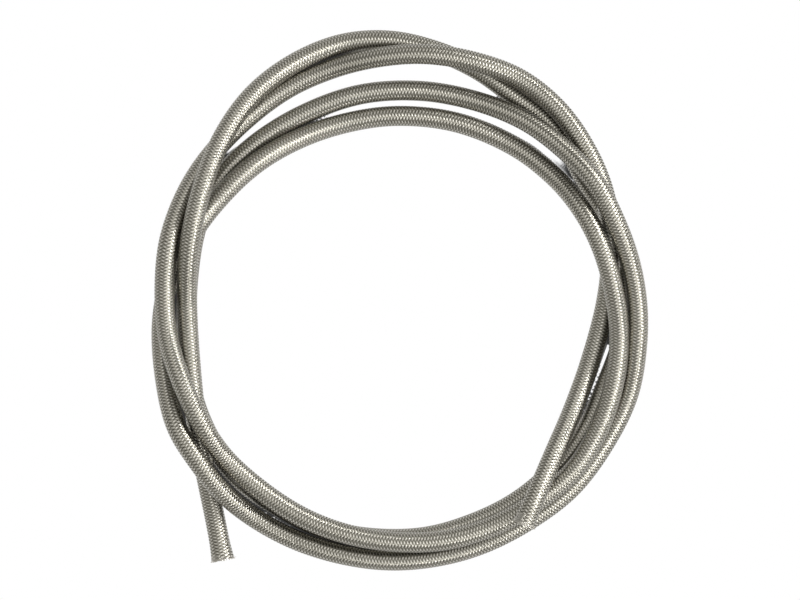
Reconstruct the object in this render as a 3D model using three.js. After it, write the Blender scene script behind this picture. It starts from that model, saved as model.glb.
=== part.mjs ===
// A length of stainless braided brake hose, laid down in loose flat loops.
// The liner is a smooth plastic tube that carries the fluid, and the wire braid
// over it keeps it from swelling. Both ends are cut off square.
// Millimetres, +Z up, the hose lies on z = 0.
import * as THREE from 'three';

const hoseDiameter = 6.2;
const braidWall = 0.45;
const boreDiameter = 3.2;
const layerGap = 0.25;
const sectionSides = 10;
const sweepSteps = 84;

const braidOuter = hoseDiameter / 2;
const braidInner = braidOuter - braidWall;
const linerOuter = braidInner - layerGap;
const linerInner = boreDiameter / 2;

// The way the hose lies: x, y, and how far it is lifted off the floor by the
// turns under it, in hose diameters.
const routePoints = [
  // from the tail: up the left side, over the top, down the right side and along the bottom
  [-56.0, -82.0, 0.00], [-58.7, -68.0, 0.00], [-61.6, -53.7, 0.40], [-63.9, -40.4, 1.02],
  [-65.9, -22.1, 1.05], [-67.1, -1.5, 1.18], [-66.4, 15.9, 2.11], [-62.8, 33.3, 2.18],
  [-56.2, 50.7, 1.58], [-46.4, 64.9, 0.85], [-33.2, 75.1, 0.35], [-18.2, 81.2, 0.02],
  [-3.1, 82.2, 0.00], [11.8, 78.8, 0.00], [24.5, 73.0, 0.00], [36.1, 64.7, 0.00],
  [46.6, 56.5, 0.00], [52.9, 48.3, 0.00], [58.0, 39.2, 0.00], [63.7, 29.8, 0.00],
  [69.9, 17.4, 0.00], [72.7, 3.2, 0.00], [70.6, -11.3, 0.00], [65.8, -25.1, 0.00],
  [58.9, -40.4, 0.00], [47.9, -54.4, 0.00], [36.6, -63.7, 0.00], [23.4, -70.3, 0.00],
  [8.0, -74.7, 0.00],
  // second loop, outermost along the bottom and third from outside at the top
  [-8.7, -75.1, 0.00], [-23.6, -72.2, 0.00], [-37.8, -65.5, 0.00], [-50.7, -56.4, 0.00],
  [-60.0, -43.8, 0.00], [-66.0, -28.1, 0.00], [-67.4, -9.4, 0.00], [-66.9, 8.0, 0.00],
  [-64.1, 23.8, 0.00], [-57.5, 37.7, 0.00], [-45.8, 49.4, 0.00], [-30.2, 59.0, 0.00],
  [-12.5, 65.2, 0.00], [6.4, 66.3, 0.00], [23.8, 63.1, 0.24], [39.6, 56.6, 0.95],
  [51.4, 47.8, 1.55], [60.9, 37.7, 2.13], [67.2, 26.0, 2.11], [72.1, 13.2, 1.58],
  [74.7, 0.0, 1.05], [74.9, -12.9, 0.76], [72.3, -29.3, 0.18], [65.6, -43.6, 0.00],
  [54.8, -58.5, 0.00], [42.5, -68.3, 0.00], [26.7, -76.7, 0.00], [12.1, -80.9, 0.00],
  // third loop, outermost on the left and innermost at the top
  [-3.1, -82.2, 0.00], [-18.2, -80.3, 0.00], [-33.2, -75.6, 0.00], [-46.5, -68.3, 0.35],
  [-56.0, -60.3, 1.26], [-63.1, -51.4, 1.81], [-70.3, -39.8, 1.73], [-74.1, -24.8, 0.94],
  [-75.3, -7.9, 0.32], [-72.8, 6.1, 0.66], [-66.3, 19.7, 1.18], [-58.4, 30.7, 1.02],
  [-46.1, 42.7, 0.81], [-31.5, 51.3, 0.24], [-15.7, 56.5, 0.00], [0.1, 58.4, 0.00],
  [18.4, 56.2, 0.00], [36.3, 48.7, 0.05], [49.2, 38.6, 0.66], [57.6, 28.0, 1.61],
  [63.4, 16.6, 1.90], [67.3, 3.2, 1.66], [69.1, -11.0, 1.13], [67.8, -24.6, 1.03],
  [63.7, -38.2, 0.98], [55.6, -52.4, 0.94], [43.3, -63.2, 0.92], [30.3, -70.7, 0.92],
  [15.3, -75.4, 1.02],
  // fourth loop, on top of the others along the bottom, to the inner end
  [0.1, -76.2, 1.05], [-15.7, -73.9, 1.05], [-29.7, -68.8, 1.05], [-42.7, -60.7, 1.05],
  [-54.9, -49.9, 1.31], [-62.6, -38.5, 2.11], [-68.6, -25.7, 2.18], [-73.0, -11.7, 1.73],
  [-74.1, 3.2, 1.73], [-72.8, 18.0, 1.87], [-68.7, 30.9, 1.34], [-61.7, 43.3, 0.63],
  [-50.5, 55.7, 0.15], [-36.3, 66.6, 0.00], [-22.0, 73.1, 0.08], [-6.7, 76.8, 0.71],
  [8.0, 77.7, 1.03], [23.8, 75.2, 1.05], [38.1, 69.8, 0.69], [50.1, 60.0, 0.76],
  [59.3, 46.5, 0.95], [64.8, 32.3, 1.05], [66.5, 15.9, 0.97], [65.2, 0.0, 0.21],
  [60.3, -18.9, 0.00], [54.5, -34.7, 0.56], [48.9, -47.3, 1.45], [44.0, -58.4, 1.97],
  [41.5, -64.2, 2.08], [38.9, -70.2, 2.00],
];

// A smooth curve through the points that never dips below the floor.
class HoseRoute extends THREE.Curve {
  constructor(points, restHeight) {
    super();
    this.spline = new THREE.CatmullRomCurve3(points, false, 'centripetal');
    this.restHeight = restHeight;
  }

  getPoint(t, target = new THREE.Vector3()) {
    this.spline.getPoint(t, target);
    target.z = Math.max(target.z, this.restHeight);
    return target;
  }
}

function makeRoute() {
  const centres = [];
  for (const [x, y, lift] of routePoints) {
    centres.push(new THREE.Vector3(x, y, braidOuter + lift * hoseDiameter));
  }
  return new HoseRoute(centres, braidOuter);
}

function ringSection(outerRadius, innerRadius) {
  const section = new THREE.Shape();
  section.absarc(0, 0, outerRadius, 0, 2 * Math.PI, false);
  const opening = new THREE.Path();
  opening.absarc(0, 0, innerRadius, 0, 2 * Math.PI, true);
  section.holes.push(opening);
  return section;
}

function sweepTube(outerRadius, innerRadius, route) {
  return new THREE.ExtrudeGeometry(ringSection(outerRadius, innerRadius), {
    steps: sweepSteps,
    curveSegments: sectionSides / 2,
    bevelEnabled: false,
    extrudePath: route,
  });
}

const braidSteel = new THREE.MeshStandardMaterial({
  color: 0x8f8d86,
  roughness: 0.35,
  metalness: 1.0,
});
const linerPlastic = new THREE.MeshStandardMaterial({
  color: 0xe6e5df,
  roughness: 0.5,
  metalness: 0.0,
});

const route = makeRoute();

// The woven wire jacket, as one plain tube.
const wireBraid = new THREE.Mesh(sweepTube(braidOuter, braidInner, route), braidSteel);
wireBraid.name = 'wire_braid';

// The smooth inner tube, open from end to end.
const linerTube = new THREE.Mesh(sweepTube(linerOuter, linerInner, route), linerPlastic);
linerTube.name = 'liner_tube';

const brakeHose = new THREE.Group();
brakeHose.name = 'brake_hose';
brakeHose.add(wireBraid, linerTube);

export default brakeHose;
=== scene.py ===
import math
import bpy
import numpy as np
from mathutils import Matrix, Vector


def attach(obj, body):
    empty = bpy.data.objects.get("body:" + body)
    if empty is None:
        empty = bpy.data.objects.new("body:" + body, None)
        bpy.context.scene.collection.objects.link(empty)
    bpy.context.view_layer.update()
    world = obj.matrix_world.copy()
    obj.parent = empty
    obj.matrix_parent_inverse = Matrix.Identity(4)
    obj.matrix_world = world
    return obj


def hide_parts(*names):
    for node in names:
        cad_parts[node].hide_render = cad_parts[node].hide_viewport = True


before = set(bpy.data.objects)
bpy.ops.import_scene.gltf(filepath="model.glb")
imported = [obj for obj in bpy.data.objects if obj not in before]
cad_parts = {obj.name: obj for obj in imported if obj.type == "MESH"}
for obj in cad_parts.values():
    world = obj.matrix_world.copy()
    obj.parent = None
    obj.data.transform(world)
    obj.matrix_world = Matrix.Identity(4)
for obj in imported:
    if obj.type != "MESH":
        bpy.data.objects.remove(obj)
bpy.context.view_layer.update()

# A length of stainless braided brake hose, laid down in loose flat loops.
hose = {
    "diameter": 0.0062,
    "liner": 0.0048,
    "bore": 0.0032,
}

# The way the hose lies: x and y in metres, and how far it is lifted off the floor by
# the turns under it, in hose diameters.
routePoints = [
    # from the tail: up the left side, over the top, down the right side and along the bottom
    (-0.0560, -0.0820, 0.00), (-0.0587, -0.0680, 0.00), (-0.0616, -0.0537, 0.40), (-0.0639, -0.0404, 1.02),
    (-0.0659, -0.0221, 1.05), (-0.0671, -0.0015, 1.18), (-0.0664, 0.0159, 2.11), (-0.0628, 0.0333, 2.18),
    (-0.0562, 0.0507, 1.58), (-0.0464, 0.0649, 0.85), (-0.0332, 0.0751, 0.35), (-0.0182, 0.0812, 0.02),
    (-0.0031, 0.0822, 0.00), (0.0118, 0.0788, 0.00), (0.0245, 0.0730, 0.00), (0.0361, 0.0647, 0.00),
    (0.0466, 0.0565, 0.00), (0.0529, 0.0483, 0.00), (0.0580, 0.0392, 0.00), (0.0637, 0.0298, 0.00),
    (0.0699, 0.0174, 0.00), (0.0727, 0.0032, 0.00), (0.0706, -0.0113, 0.00), (0.0658, -0.0251, 0.00),
    (0.0589, -0.0404, 0.00), (0.0479, -0.0544, 0.00), (0.0366, -0.0637, 0.00), (0.0234, -0.0703, 0.00),
    (0.0080, -0.0747, 0.00),
    # second loop, outermost along the bottom and third from outside at the top
    (-0.0087, -0.0751, 0.00), (-0.0236, -0.0722, 0.00), (-0.0378, -0.0655, 0.00), (-0.0507, -0.0564, 0.00),
    (-0.0600, -0.0438, 0.00), (-0.0660, -0.0281, 0.00), (-0.0674, -0.0094, 0.00), (-0.0669, 0.0080, 0.00),
    (-0.0641, 0.0238, 0.00), (-0.0575, 0.0377, 0.00), (-0.0458, 0.0494, 0.00), (-0.0302, 0.0590, 0.00),
    (-0.0125, 0.0652, 0.00), (0.0064, 0.0663, 0.00), (0.0238, 0.0631, 0.24), (0.0396, 0.0566, 0.95),
    (0.0514, 0.0478, 1.55), (0.0609, 0.0377, 2.13), (0.0672, 0.0260, 2.11), (0.0721, 0.0132, 1.58),
    (0.0747, 0.0000, 1.05), (0.0749, -0.0129, 0.76), (0.0723, -0.0293, 0.18), (0.0656, -0.0436, 0.00),
    (0.0548, -0.0585, 0.00), (0.0425, -0.0683, 0.00), (0.0267, -0.0767, 0.00), (0.0121, -0.0809, 0.00),
    # third loop, outermost on the left and innermost at the top
    (-0.0031, -0.0822, 0.00), (-0.0182, -0.0803, 0.00), (-0.0332, -0.0756, 0.00), (-0.0465, -0.0683, 0.35),
    (-0.0560, -0.0603, 1.26), (-0.0631, -0.0514, 1.81), (-0.0703, -0.0398, 1.73), (-0.0741, -0.0248, 0.94),
    (-0.0753, -0.0079, 0.32), (-0.0728, 0.0061, 0.66), (-0.0663, 0.0197, 1.18), (-0.0584, 0.0307, 1.02),
    (-0.0461, 0.0427, 0.81), (-0.0315, 0.0513, 0.24), (-0.0157, 0.0565, 0.00), (0.0001, 0.0584, 0.00),
    (0.0184, 0.0562, 0.00), (0.0363, 0.0487, 0.05), (0.0492, 0.0386, 0.66), (0.0576, 0.0280, 1.61),
    (0.0634, 0.0166, 1.90), (0.0673, 0.0032, 1.66), (0.0691, -0.0110, 1.13), (0.0678, -0.0246, 1.03),
    (0.0637, -0.0382, 0.98), (0.0556, -0.0524, 0.94), (0.0433, -0.0632, 0.92), (0.0303, -0.0707, 0.92),
    (0.0153, -0.0754, 1.02),
    # fourth loop, on top of the others along the bottom, to the inner end
    (0.0001, -0.0762, 1.05), (-0.0157, -0.0739, 1.05), (-0.0297, -0.0688, 1.05), (-0.0427, -0.0607, 1.05),
    (-0.0549, -0.0499, 1.31), (-0.0626, -0.0385, 2.11), (-0.0686, -0.0257, 2.18), (-0.0730, -0.0117, 1.73),
    (-0.0741, 0.0032, 1.73), (-0.0728, 0.0180, 1.87), (-0.0687, 0.0309, 1.34), (-0.0617, 0.0433, 0.63),
    (-0.0505, 0.0557, 0.15), (-0.0363, 0.0666, 0.00), (-0.0220, 0.0731, 0.08), (-0.0067, 0.0768, 0.71),
    (0.0080, 0.0777, 1.03), (0.0238, 0.0752, 1.05), (0.0381, 0.0698, 0.69), (0.0501, 0.0600, 0.76),
    (0.0593, 0.0465, 0.95), (0.0648, 0.0323, 1.05), (0.0665, 0.0159, 0.97), (0.0652, 0.0000, 0.21),
    (0.0603, -0.0189, 0.00), (0.0545, -0.0347, 0.56), (0.0489, -0.0473, 1.45), (0.0440, -0.0584, 1.97),
    (0.0415, -0.0642, 2.08), (0.0389, -0.0702, 2.00),
]

# Eight bundles of wire run each way round the hose, each over one and under the next.
braid = {
    "bundlesEachWay": 8,
    "lead": 0.00805,
    "bundleWidth": 0.00072,
    "wiresInBundle": 6,
    "weaveHeight": 0.0001,
    "plateau": 1.8,
    "crown": 0.00004,
    "proud": 0.00013,
    "samplesPerTurn": 48,
    "pointsAcross": 3,
}

# Where the hose was cut, the jacket has sprung open a little and its wires stick out.
cutEnd = {
    "flare": 0.0005,
    "flareLength": 0.009,
    "flareSideways": 1.8,
    "wireRadius": 0.00006,
    "wireSides": 5,
    "stubInside": 0.0008,
    "stubLeast": 0.00005,
    "stubMost": 0.00025,
    "stubPoints": 7,
    "fray": 0.00025,
    "lowest": 0.00001,
    "seed": 12,
}


def hexToLinear(text):
    values = []
    for start in (0, 2, 4):
        c = int(text[start:start + 2], 16) / 255.0
        values.append(c / 12.92 if c <= 0.04045 else ((c + 0.055) / 1.055) ** 2.4)
    return (*values, 1.0)


def addNode(tree, kind, inputs=None, **settings):
    node = tree.nodes.new(kind)
    for name, value in settings.items():
        setattr(node, name, value)
    for name, value in (inputs or {}).items():
        if isinstance(value, bpy.types.NodeSocket):
            tree.links.new(value, node.inputs[name])
        else:
            node.inputs[name].default_value = value
    return node


def newMaterial(name):
    material = bpy.data.materials.new(name)
    material.use_nodes = True
    material.node_tree.nodes.clear()
    return material


# The route

def routeLine(points, restHeight, perSpan=24):
    p = np.array([(x, y, restHeight + lift * hose["diameter"]) for x, y, lift in points])
    p = np.vstack([2 * p[0] - p[1], p, 2 * p[-1] - p[-2]])
    t = np.linspace(0, 1, perSpan, endpoint=False)[:, None]
    line = []
    for p0, p1, p2, p3 in zip(p[:-3], p[1:-2], p[2:-1], p[3:]):
        d0, d1, d2 = [math.sqrt(np.linalg.norm(b - a)) for a, b in ((p0, p1), (p1, p2), (p2, p3))]
        m1 = ((p1 - p0) / d0 - (p2 - p0) / (d0 + d1) + (p2 - p1) / d1) * d1
        m2 = ((p2 - p1) / d1 - (p3 - p1) / (d1 + d2) + (p3 - p2) / d2) * d1
        line.append(p1 + m1 * t + (3 * (p2 - p1) - 2 * m1 - m2) * t**2 + (2 * (p1 - p2) + m1 + m2) * t**3)
    line = np.vstack(line + [p[-2][None]])
    line[:, 2] = np.maximum(line[:, 2], restHeight)
    return line


def evenSteps(line, count):
    along = np.concatenate([[0], np.cumsum(np.linalg.norm(np.diff(line, axis=0), axis=1))])
    wanted = np.linspace(0, along[-1], count)
    return np.stack([np.interp(wanted, along, line[:, k]) for k in range(3)], axis=1), along[-1]


def unit(vectors):
    return vectors / np.linalg.norm(vectors, axis=-1, keepdims=True)


# A frame carried along the line without twist, so that the braid runs true round it.
def carriedFrames(line):
    forward = unit(np.gradient(line, axis=0))
    side = np.zeros_like(line)
    side[0] = unit(np.cross(forward[0], (0, 0, 1)))
    for k in range(1, len(line)):
        step = side[k - 1] - forward[k] * np.dot(side[k - 1], forward[k])
        side[k] = step / math.sqrt(np.dot(step, step))
    return forward, side, np.cross(forward, side)


class Route:
    def __init__(self):
        smooth = routeLine(routePoints, hose["diameter"] / 2)
        self.length = evenSteps(smooth, 2)[1]
        self.count = round(self.length / braid["lead"] * braid["samplesPerTurn"]) + 1
        self.line, self.length = evenSteps(smooth, self.count)
        self.along = np.linspace(0, self.length, self.count)
        self.lead = self.length * braid["samplesPerTurn"] / (self.count - 1)
        self.forward, self.side, self.up = carriedFrames(self.line)

    # The point at a distance along the hose, at an angle and a radius from its middle.
    def place(self, s, angle, radius, flare=0.0):
        mid, side, up = [
            np.stack([np.interp(s, self.along, part[:, k]) for k in range(3)], axis=-1)
            for part in (self.line, self.side, self.up)
        ]
        beyond = s - np.clip(s, 0, self.length)
        ends = np.where((s > self.length / 2)[..., None], self.forward[-1], self.forward[0])
        turn = np.cos(angle)[..., None] * side + np.sin(angle)[..., None] * up
        # The jacket opens upwards and sideways only, since the floor or a turn lies under it.
        near = np.clip(1 - np.minimum(s, self.length - s) / cutEnd["flareLength"], 0, 1.1)
        free = np.clip(1 + cutEnd["flareSideways"] * turn[..., 2], 0, 1)
        spread = radius + flare * near**2 * free
        return mid + spread[..., None] * turn + beyond[..., None] * ends

    # The angle round the hose at one of its ends that faces a direction in the scene.
    def angleToward(self, k, direction):
        return math.atan2(np.dot(direction, self.up[k]), np.dot(direction, self.side[k]))


def makePiece(name, points, faces, material, uv=None):
    mesh = bpy.data.meshes.new(name)
    points = np.asarray(points, dtype=np.float32).reshape(-1, 3)
    faces = np.asarray(faces, dtype=np.int32)
    sides = faces.shape[1]
    mesh.vertices.add(len(points))
    mesh.vertices.foreach_set("co", points.ravel())
    mesh.loops.add(faces.size)
    mesh.loops.foreach_set("vertex_index", faces.ravel())
    mesh.polygons.add(len(faces))
    mesh.polygons.foreach_set("loop_start", np.arange(0, faces.size, sides, dtype=np.int32))
    mesh.polygons.foreach_set("loop_total", np.full(len(faces), sides, dtype=np.int32))
    mesh.polygons.foreach_set("use_smooth", np.ones(len(faces), dtype=bool))
    if uv is not None:
        layer = mesh.uv_layers.new(name="surface")
        flat = np.asarray(uv, dtype=np.float32).reshape(-1, 2)[faces.ravel()]
        layer.data.foreach_set("uv", flat.ravel())
    mesh.update(calc_edges=True)
    mesh.validate()
    mesh.materials.append(material)
    piece = bpy.data.objects.new(name, mesh)
    bpy.context.scene.collection.objects.link(piece)
    return piece


def gridFaces(rows, columns, closed=False, first=0):
    across = columns if closed else columns - 1
    r, c = np.meshgrid(np.arange(rows - 1), np.arange(across), indexing="ij")
    n = (c + 1) % columns
    here, above = r * columns, (r + 1) * columns
    quads = np.stack([here + c, here + n, above + n, above + c], axis=-1)
    return quads.reshape(-1, 4) + first


# Camera and light

view = {
    "middle": (-0.00002, 0.00018),
    "width": 0.253,
    "lens": 300.0,
    "sensor": 36.0,
}


def addCamera():
    data = bpy.data.cameras.new("camera")
    data.lens = view["lens"]
    data.sensor_width = view["sensor"]
    data.clip_end = 20.0
    camera = bpy.data.objects.new("camera", data)
    distance = view["width"] * view["lens"] / view["sensor"]
    camera.location = (*view["middle"], distance + hose["diameter"] / 2)
    bpy.context.scene.collection.objects.link(camera)
    bpy.context.scene.camera = camera


def addSoftbox(name, place, size, power):
    data = bpy.data.lights.new(name, "AREA")
    data.shape = "RECTANGLE"
    data.size, data.size_y = size
    data.energy = power
    light = bpy.data.objects.new(name, data)
    light.location = place
    light.rotation_euler = (-Vector(place)).to_track_quat("-Z", "Y").to_euler()
    bpy.context.scene.collection.objects.link(light)


# The sheet is a fine grid near the hose, because that is where the shade on it changes.
paper = {
    "step": 0.0005,
    "margin": 0.02,
    "directions": 16,
    "edgeSpread": 4,
    "softening": 30,
    "underneath": 0.085,
    "darkSky": 0.08,
    "openSky": 0.104,
    "darkest": 0.04,
    "floorHalf": 3,
    "floorDrop": 0.00005,
}


# How much of the sky each spot of the paper sees past the turns of the hose, from 1 in the open to 0 deep
# between two stacks of turns. The paper's painted shadow is drawn from it.
def paperGrid(route):
    step = paper["step"]
    low = route.line[:, :2].min(axis=0) - paper["margin"]
    high = route.line[:, :2].max(axis=0) + paper["margin"]
    xs, ys = [np.arange(a, b, step) for a, b in zip(low, high)]
    heights = np.zeros((len(ys), len(xs)))
    radius = hose["diameter"] / 2
    middle = np.rint((route.line[:, :2] - low) / step).astype(int)
    reach = int(radius / step) + 1
    for right in range(-reach, reach + 1):
        for up in range(-reach, reach + 1):
            cell = middle + (right, up)
            away = np.linalg.norm(low + cell * step - route.line[:, :2], axis=1)
            near = away < radius
            top = route.line[near, 2] + np.sqrt(radius**2 - away[near]**2)
            np.maximum.at(heights, (cell[near, 1], cell[near, 0]), top)
    sky = np.zeros_like(heights)
    for turn in np.linspace(0, 2 * math.pi, paper["directions"], endpoint=False):
        steepest = np.zeros_like(heights)
        for cells in range(1, int(paper["margin"] / step)):
            shift = (round(cells * math.sin(turn)), round(cells * math.cos(turn)))
            steepest = np.maximum(steepest, np.roll(heights, shift, axis=(0, 1)) / (cells * step))
        sky += 1 / (1 + steepest**2) / paper["directions"]
    # Painted shadow: spots under the hose take the value of the open paper next to them, and further in it
    # fades to the painted soft shadow that a low view shows under the lifted turns.
    hidden = heights > 0
    sky[hidden] = 0
    sides = ((0, 1), (0, -1), (1, 0), (-1, 0))
    for spread in range(paper["edgeSpread"]):
        around = [np.roll(sky, shift, axis=(0, 1)) for shift in sides]
        sky = np.where(hidden & (sky == 0), np.max(around, axis=0), sky)
    deep = hidden & (sky == 0)
    sky[deep] = paper["underneath"]
    for spread in range(paper["softening"]):
        around = [np.roll(sky, shift, axis=(0, 1)) for shift in sides]
        sky = np.where(deep, np.mean(around, axis=0), sky)
    x, y = np.meshgrid(xs, ys)
    return np.stack([x, y, 0 * x], axis=-1), sky


def addFloor(route):
    material = newMaterial("white paper")
    tree = material.node_tree
    # A white sheet that glows white, with a painted shadow from the sky map: it stays white nearly
    # everywhere and turns dark only in the narrow gaps between the turns, where no light gets in.
    coords = addNode(tree, "ShaderNodeUVMap", uv_map="surface")
    split = addNode(tree, "ShaderNodeSeparateXYZ", {"Vector": coords.outputs["UV"]})
    # Painted shadow: the paper's glow is scaled down where it sees little sky.
    paintedShadowStrength = addNode(
        tree, "ShaderNodeMapRange",
        {"Value": split.outputs["X"], "From Min": paper["darkSky"], "From Max": paper["openSky"],
         "To Min": paper["darkest"], "To Max": 1.0},
        interpolation_type="SMOOTHSTEP")
    shade = addNode(tree, "ShaderNodeBsdfDiffuse", {"Color": hexToLinear("f2f2f2")})
    glow = addNode(
        tree, "ShaderNodeEmission",
        {"Color": (1, 1, 1, 1), "Strength": paintedShadowStrength.outputs["Result"]})
    rays = addNode(tree, "ShaderNodeLightPath")
    mirrored = addNode(
        tree, "ShaderNodeMath",
        {0: rays.outputs["Is Glossy Ray"], 1: rays.outputs["Is Transmission Ray"]}, operation="MAXIMUM")
    seen = addNode(
        tree, "ShaderNodeMath",
        {0: rays.outputs["Is Camera Ray"], 1: mirrored.outputs["Value"]}, operation="MAXIMUM")
    both = addNode(tree, "ShaderNodeMixShader", {"Fac": seen.outputs["Value"]})
    tree.links.new(shade.outputs["BSDF"], both.inputs[1])
    tree.links.new(glow.outputs["Emission"], both.inputs[2])
    addNode(tree, "ShaderNodeOutputMaterial", {"Surface": both.outputs["Shader"]})
    grid, sky = paperGrid(route)
    uv = np.stack([sky, 0 * sky], axis=-1)
    makePiece("paper", grid, gridFaces(*sky.shape), material, uv)
    wide, low = paper["floorHalf"], -paper["floorDrop"]
    corners = [(-wide, -wide, low), (wide, -wide, low), (wide, wide, low), (-wide, wide, low)]
    makePiece("floor", corners, [(0, 1, 2, 3)], material, [(1, 0)] * 4)


softboxes = {
    "key": {"place": (0.85, 0.28, 0.6), "size": (0.8, 0.13), "power": 8.5},
    "low": {"place": (0.6, -0.72, 0.55), "size": (0.5, 0.12), "power": 3.0},
    "top": {"place": (0.4, 0.1, 1.3), "size": (2.0, 2.0), "power": 10.5},
}

room = {
    "tint": "f0efea",
    "strength": 0.6,
}


def setLight():
    world = bpy.data.worlds.new("room")
    bpy.context.scene.world = world
    world.use_nodes = True
    background = world.node_tree.nodes["Background"]
    background.inputs["Color"].default_value = hexToLinear(room["tint"])
    background.inputs["Strength"].default_value = room["strength"]
    for name, box in softboxes.items():
        addSoftbox(name, **box)


# Materials

# Drawn stainless wire, in flat bundles of fine wires lying side by side, 0.12 mm each. The tint carries
# painted shade: it is dark where a bundle dips under the next one and towards its edges, and keeps the
# steel's bright tone on top.
steelLook = {
    "bright": ("cfccc3", "e2dfd8"),
    # dark tint of the painted shade in the dips and at the bundle edges
    "dips": "88857b",
    "patchSize": 0.00263,
    "roughness": (0.27, 0.33),
    "ridgeHeight": 0.00005,
    "ridgeStrength": 0.25,
    "spreadAcross": 0.8,
}


def braidSteel():
    material = newMaterial("braid steel")
    tree = material.node_tree
    coords = addNode(tree, "ShaderNodeUVMap", uv_map="surface")
    split = addNode(tree, "ShaderNodeSeparateXYZ", {"Vector": coords.outputs["UV"]})
    wave = addNode(tree, "ShaderNodeMath", {0: split.outputs["X"], 1: math.pi}, operation="MULTIPLY")
    ripple = addNode(tree, "ShaderNodeMath", {0: wave.outputs["Value"]}, operation="SINE")
    wires = addNode(tree, "ShaderNodeMath", {0: ripple.outputs["Value"]}, operation="ABSOLUTE")
    bump = addNode(
        tree, "ShaderNodeBump",
        {"Strength": steelLook["ridgeStrength"], "Distance": steelLook["ridgeHeight"],
         "Height": wires.outputs["Value"]})
    place = addNode(tree, "ShaderNodeTexCoord")
    patches = addNode(
        tree, "ShaderNodeTexNoise",
        {"Vector": place.outputs["Object"], "Scale": 1 / steelLook["patchSize"], "Detail": 3.0,
         "Roughness": 0.6})
    bright = addNode(tree, "ShaderNodeMix", {"Factor": patches.outputs["Fac"]}, data_type="RGBA")
    bright.inputs["A"].default_value = hexToLinear(steelLook["bright"][0])
    bright.inputs["B"].default_value = hexToLinear(steelLook["bright"][1])
    # Painted shade: low in the weave and towards the bundle edges the tint turns dark, standing in for
    # shade between the bundles.
    risen = addNode(
        tree, "ShaderNodeMapRange",
        {"Value": split.outputs["Y"], "From Min": 0.45, "From Max": 0.9, "To Min": 0.0, "To Max": 1.0},
        interpolation_type="SMOOTHSTEP")
    halfWires = braid["wiresInBundle"] / 2
    aside = addNode(
        tree, "ShaderNodeMath", {0: split.outputs["X"], 1: halfWires}, operation="SUBTRACT")
    fromMiddle = addNode(tree, "ShaderNodeMath", {0: aside.outputs["Value"]}, operation="ABSOLUTE")
    inner = addNode(
        tree, "ShaderNodeMapRange",
        {"Value": fromMiddle.outputs["Value"], "From Min": 0.05 * halfWires, "From Max": 0.8 * halfWires,
         "To Min": 1.0, "To Max": 0.0},
        interpolation_type="SMOOTHSTEP")
    clearOfPaintedShade = addNode(
        tree, "ShaderNodeMath",
        {0: risen.outputs["Result"], 1: inner.outputs["Result"]}, operation="MULTIPLY")
    tint = addNode(tree, "ShaderNodeMix", {"Factor": clearOfPaintedShade.outputs["Value"]}, data_type="RGBA")
    tint.inputs["A"].default_value = hexToLinear(steelLook["dips"])
    tree.links.new(bright.outputs["Result"], tint.inputs["B"])
    rough = addNode(
        tree, "ShaderNodeMapRange",
        {"Value": patches.outputs["Fac"], "From Min": 0.3, "From Max": 0.7,
         "To Min": steelLook["roughness"][0], "To Max": steelLook["roughness"][1]})
    # Drawn wire spreads a reflection across itself, and hardly at all along its length.
    acrossWires = addNode(tree, "ShaderNodeTangent", direction_type="UV_MAP", uv_map="surface")
    steel = addNode(
        tree, "ShaderNodeBsdfPrincipled",
        {"Base Color": tint.outputs["Result"], "Metallic": 1.0, "Roughness": rough.outputs["Result"],
         "Anisotropic": steelLook["spreadAcross"], "Tangent": acrossWires.outputs["Tangent"],
         "Normal": bump.outputs["Normal"]})
    addNode(tree, "ShaderNodeOutputMaterial", {"Surface": steel.outputs["BSDF"]})
    return material


# A dark tube of painted shade under the braid, standing for the wire from behind in the shade: dull, with
# a grain of about 1 mm. It is seen only through the gaps between the bundles.
shadeTubeLook = {
    "tints": ("2c2a24", "434038"),
    "grainSize": 0.00111,
    "outer": 0.002435,
    "inner": 0.00241,
}


def shadeTubeUnderBraid():
    material = newMaterial("painted shade under braid")
    tree = material.node_tree
    place = addNode(tree, "ShaderNodeTexCoord")
    grain = addNode(
        tree, "ShaderNodeTexNoise",
        {"Vector": place.outputs["Object"], "Scale": 1 / shadeTubeLook["grainSize"], "Detail": 2.0})
    # Dark tints of the painted shade seen through the gaps.
    tint = addNode(tree, "ShaderNodeMix", {"Factor": grain.outputs["Fac"]}, data_type="RGBA")
    tint.inputs["A"].default_value = hexToLinear(shadeTubeLook["tints"][0])
    tint.inputs["B"].default_value = hexToLinear(shadeTubeLook["tints"][1])
    dark = addNode(
        tree, "ShaderNodeBsdfPrincipled",
        {"Base Color": tint.outputs["Result"], "Metallic": 0.6, "Roughness": 0.6})
    addNode(tree, "ShaderNodeOutputMaterial", {"Surface": dark.outputs["BSDF"]})
    return material


# Extruded fluoroplastic tube: waxy white and slightly clear, with faint clouds 2 mm across.
linerLook = {
    "tints": ("dddcd6", "f1f0ec"),
    "cloudSize": 0.002,
    "roughness": 0.42,
}


def linerPlastic():
    material = newMaterial("liner plastic")
    tree = material.node_tree
    place = addNode(tree, "ShaderNodeTexCoord")
    cloud = addNode(
        tree, "ShaderNodeTexNoise",
        {"Vector": place.outputs["Object"], "Scale": 1 / linerLook["cloudSize"], "Detail": 2.0})
    tint = addNode(tree, "ShaderNodeMix", {"Factor": cloud.outputs["Fac"]}, data_type="RGBA")
    tint.inputs["A"].default_value = hexToLinear(linerLook["tints"][0])
    tint.inputs["B"].default_value = hexToLinear(linerLook["tints"][1])
    bump = addNode(
        tree, "ShaderNodeBump",
        {"Strength": 0.2, "Distance": 0.00003, "Height": cloud.outputs["Fac"]})
    waxy = addNode(
        tree, "ShaderNodeBsdfPrincipled",
        {"Base Color": tint.outputs["Result"], "Roughness": linerLook["roughness"],
         "Subsurface Weight": 0.25, "Subsurface Scale": 0.001, "Normal": bump.outputs["Normal"]})
    addNode(tree, "ShaderNodeOutputMaterial", {"Surface": waxy.outputs["BSDF"]})
    return material


# The braid

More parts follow.
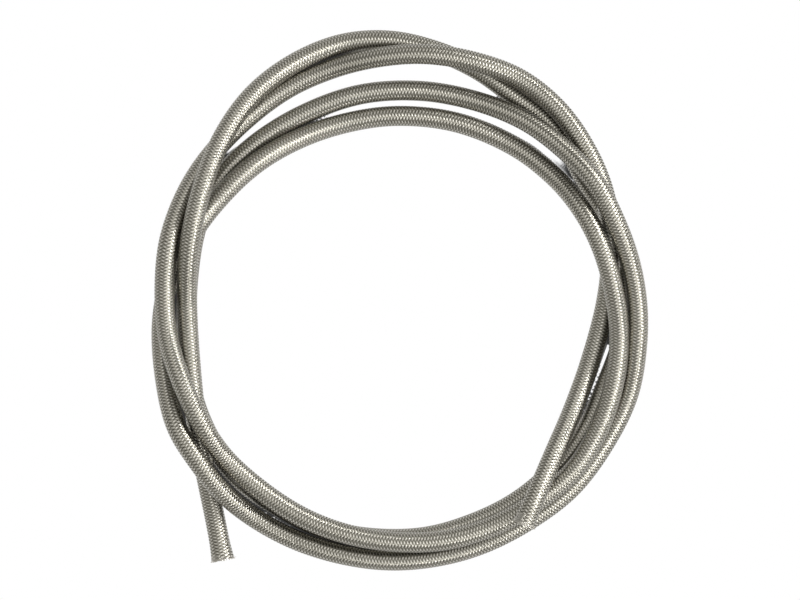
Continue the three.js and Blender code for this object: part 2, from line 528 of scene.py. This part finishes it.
# One bundle: a flat ribbon that winds round the hose in one direction, rising over
# every second bundle that winds the other way and dipping under the ones between.
def weave(route, hand, index, along, across):
    pitch = 2 * math.pi / braid["bundlesEachWay"]
    outer = hose["diameter"] / 2 + braid["proud"]
    middle = outer - braid["weaveHeight"] - braid["crown"]
    slope = math.atan2(2 * math.pi * middle, route.lead)
    offset = across * braid["bundleWidth"] / 2
    s = along + offset * math.sin(slope)
    start = index * pitch
    angle = hand * 2 * math.pi * along / route.lead + start
    angle = angle - hand * offset * math.cos(slope) / middle
    crossing = (angle - start + hand * 2 * math.pi * s / route.lead) / pitch
    # A bundle stays level over the one it crosses, and then drops quickly under the next.
    wave = np.cos(math.pi * (crossing * hand + (0 if hand > 0 else 1)))
    lift = np.tanh(braid["plateau"] * wave) / math.tanh(braid["plateau"])
    radius = middle + braid["weaveHeight"] * lift + braid["crown"] * (1 - across**2)
    return s, angle, radius, wave


def bundleGrid(route, hand, index):
    across = np.linspace(-1, 1, braid["pointsAcross"])[None, :]
    s, angle, radius, wave = weave(route, hand, index, route.along[:, None], across)
    points = route.place(np.clip(s, 0, route.length), angle, radius, cutEnd["flare"])
    uv = np.empty(points.shape[:2] + (2,))
    uv[..., 0] = (across + 1) / 2 * braid["wiresInBundle"]
    uv[..., 1] = (wave + 1) / 2
    return points, uv


def braidPiece(name, route, hand, indexes, material):
    points, uvs, faces = [], [], []
    for index in indexes:
        grid, uv = bundleGrid(route, hand, index)
        rows, columns = grid.shape[:2]
        quads = gridFaces(rows, columns, first=len(points) * rows * columns)
        faces.append(quads if hand > 0 else quads[:, ::-1])
        points.append(grid.reshape(-1, 3))
        uvs.append(uv.reshape(-1, 2))
    return makePiece(name, np.vstack(points), np.vstack(faces), material, np.vstack(uvs))


# Cut wires

# A fine round wire along a few points, closed at both ends.
def wireAlong(line, radius, first):
    sides = cutEnd["wireSides"]
    forward = unit(np.gradient(line, axis=0))
    # Any direction that no wire follows will do to start the ring from.
    side = unit(np.cross(forward, (0.31, 0.17, 0.93)))
    up = np.cross(forward, side)
    angle = np.linspace(0, 2 * math.pi, sides, endpoint=False)[None, :, None]
    ring = np.cos(angle) * side[:, None] + np.sin(angle) * up[:, None]
    points = (line[:, None] + radius * ring).reshape(-1, 3)
    points = np.vstack([points, line[0], line[-1]])
    quads = gridFaces(len(line), sides, closed=True)
    triangles = np.vstack([quads[:, [0, 1, 2]], quads[:, [0, 2, 3]]])
    k = np.arange(sides)
    n = (k + 1) % sides
    base = (len(line) - 1) * sides
    middle = np.full(sides, len(line) * sides)
    startCap = np.stack([middle, n, k], axis=-1)
    endCap = np.stack([middle + 1, k + base, n + base], axis=-1)
    caps = np.vstack([startCap, endCap])
    # Clear of the painted shade, bright all over like the top of a bundle.
    uv = np.empty((len(points), 2))
    uv[:, 0] = braid["wiresInBundle"] / 2
    uv[:-2, 0] += 0.4 * np.tile(np.sin(angle.ravel()), len(line))
    uv[:, 1] = 0.8
    uv[:-2, 1] += 0.1 * np.repeat(np.linspace(0, 1, len(line)), sides)
    return points, np.vstack([triangles, caps]) + first, uv


# Every wire of every bundle runs on past the cut for a hair's breadth, each one its own length.
def stubLines(route, end, chance):
    at = 0.0 if end == 0 else route.length
    outward = -1 if end == 0 else 1
    lines = []
    for hand in (1, -1):
        for index in range(braid["bundlesEachWay"]):
            for wire in range(braid["wiresInBundle"]):
                across = (wire + 0.5) / braid["wiresInBundle"] * 2 - 1
                reach = chance.uniform(cutEnd["stubLeast"], cutEnd["stubMost"])
                skew = weave(route, hand, index, at, across)[0] - at
                steps = np.linspace(0, 1, cutEnd["stubPoints"])
                past = np.linspace(-cutEnd["stubInside"], reach, cutEnd["stubPoints"])
                along = at - skew + outward * past
                s, angle, radius, wave = weave(route, hand, index, along, across)
                fray = chance.uniform(0, cutEnd["fray"]) * steps**3
                lines.append(route.place(s, angle, radius + fray, cutEnd["flare"]))
    return lines


# Wires that have slipped out of the weave and lie side by side round the end of the hose.
def slippedLines(route, end, chance, slipped):
    at = 0.0 if end == 0 else route.length
    outward = -1 if end == 0 else 1
    middle = route.angleToward(end, slipped["toward"])
    lines = []
    for k in range(slipped["count"]):
        t = np.linspace(-1, 1, 15)
        half = slipped["halfArc"] * chance.uniform(0.7, 1.0)
        depth = slipped["from"] + k * slipped["spacing"] + slipped["slant"] * t
        angle = middle + half * t
        radius = hose["diameter"] / 2 + braid["proud"] + slipped["above"] * (1 - t**4)
        radius = radius - slipped["tucked"] * t**4
        lines.append(route.place(at - outward * depth, angle, radius, cutEnd["flare"]))
    return lines


# One wire that has come right out and points away to the side.
def strayLine(route, end, stray):
    at = 0.0 if end == 0 else route.length
    outward = -1 if end == 0 else 1
    t = np.linspace(0, 1, 8)
    angle = route.angleToward(end, stray["toward"]) + stray["lean"] * t
    radius = hose["diameter"] / 2 + stray["length"] * t**1.5
    return route.place(at - outward * (stray["from"] + 0 * t), angle, radius, cutEnd["flare"])


def cutWirePiece(name, route, end, material, slipped, strays):
    chance = np.random.default_rng(cutEnd["seed"])
    lines = stubLines(route, end, chance) + slippedLines(route, end, chance, slipped)
    lines += [strayLine(route, end, stray) for stray in strays]
    points, faces, uvs, count = [], [], [], 0
    for line in lines:
        wirePoints, wireFaces, uv = wireAlong(line, cutEnd["wireRadius"], count)
        points.append(wirePoints)
        faces.append(wireFaces)
        uvs.append(uv)
        count += len(wirePoints)
    points = np.vstack(points)
    points[:, 2] = np.maximum(points[:, 2], cutEnd["lowest"])
    return makePiece(name, points, np.vstack(faces), material, np.vstack(uvs))


tailWires = {
    "slipped": {
        "toward": (-0.75, 0.0, 0.66),
        "count": 7,
        "from": 0.0003,
        "spacing": 0.00024,
        "slant": 0.0001,
        "halfArc": 0.75,
        "above": 0.00004,
        "tucked": 0.0001,
    },
    "strays": [
        {"toward": (1.0, 0.1, 0.1), "lean": 0.25, "length": 0.0009, "from": 0.0002},
        {"toward": (0.9, 0.1, -0.3), "lean": 0.1, "length": 0.0005, "from": 0.0004},
    ],
}

upperWires = {
    "slipped": {
        "toward": (-0.66, 0.3, 0.68),
        "count": 17,
        "from": 0.0003,
        "spacing": 0.00016,
        "slant": -0.0003,
        "halfArc": 0.65,
        "above": 0.00008,
        "tucked": 0.0001,
    },
    "strays": [
        {"toward": (0.8, -0.35, 0.5), "lean": -0.2, "length": 0.0004, "from": 0.0001},
        {"toward": (0.9, -0.4, 0.2), "lean": 0.2, "length": 0.0005, "from": 0.0003},
    ],
}


def tubePiece(name, route, outerRadius, innerRadius, material, sides=24, every=12):
    picked = np.unique(np.append(np.arange(0, route.count, every), route.count - 1))
    s = route.along[picked][:, None]
    angle = np.linspace(0, 2 * math.pi, sides, endpoint=False)[None, :] + 0 * s
    outer = route.place(s + 0 * angle, angle, np.full_like(angle, outerRadius))
    inner = route.place(s + 0 * angle, angle, np.full_like(angle, innerRadius))
    rows = len(picked)
    size = rows * sides
    outerFaces = gridFaces(rows, sides, closed=True)
    innerFaces = gridFaces(rows, sides, closed=True, first=size)[:, ::-1]
    k = np.arange(sides)
    n = (k + 1) % sides
    startLid = np.stack([k + size, n + size, n, k], axis=-1)
    last = (rows - 1) * sides
    endLid = np.stack([k, n, n + size, k + size], axis=-1) + last
    faces = np.vstack([outerFaces, innerFaces, startLid, endLid])
    return makePiece(name, np.vstack([outer.reshape(-1, 3), inner.reshape(-1, 3)]), faces, material)


addCamera()
route = Route()
print("route length", round(route.length, 4), "samples", route.count)

steel = braidSteel()
pieces = []
for hand, way in ((1, "right"), (-1, "left")):
    for half, indexes in (("a", range(0, 4)), ("b", range(4, 8))):
        pieces.append(braidPiece("braid_" + way + "_" + half, route, hand, indexes, steel))
print("braid made")

tailEnd = cutWirePiece("cut_wires_tail", route, 0, steel, **tailWires)
upperEnd = cutWirePiece("cut_wires_upper", route, -1, steel, **upperWires)
pieces += [tailEnd, upperEnd]
print("cut ends made")

# A dark tube of painted shade, just inside the braid.
inside = tubePiece("shade_tube_under_braid", route, shadeTubeLook["outer"], shadeTubeLook["inner"], shadeTubeUnderBraid())
liner = tubePiece("liner", route, hose["liner"] / 2, hose["bore"] / 2, linerPlastic())
for piece in pieces + [inside]:
    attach(piece, "root")
    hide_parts("wire_braid")
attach(liner, "root")
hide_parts("liner_tube")
print("hose declared")

addFloor(route)
setLight()
bpy.context.scene.view_settings.view_transform = "Standard"
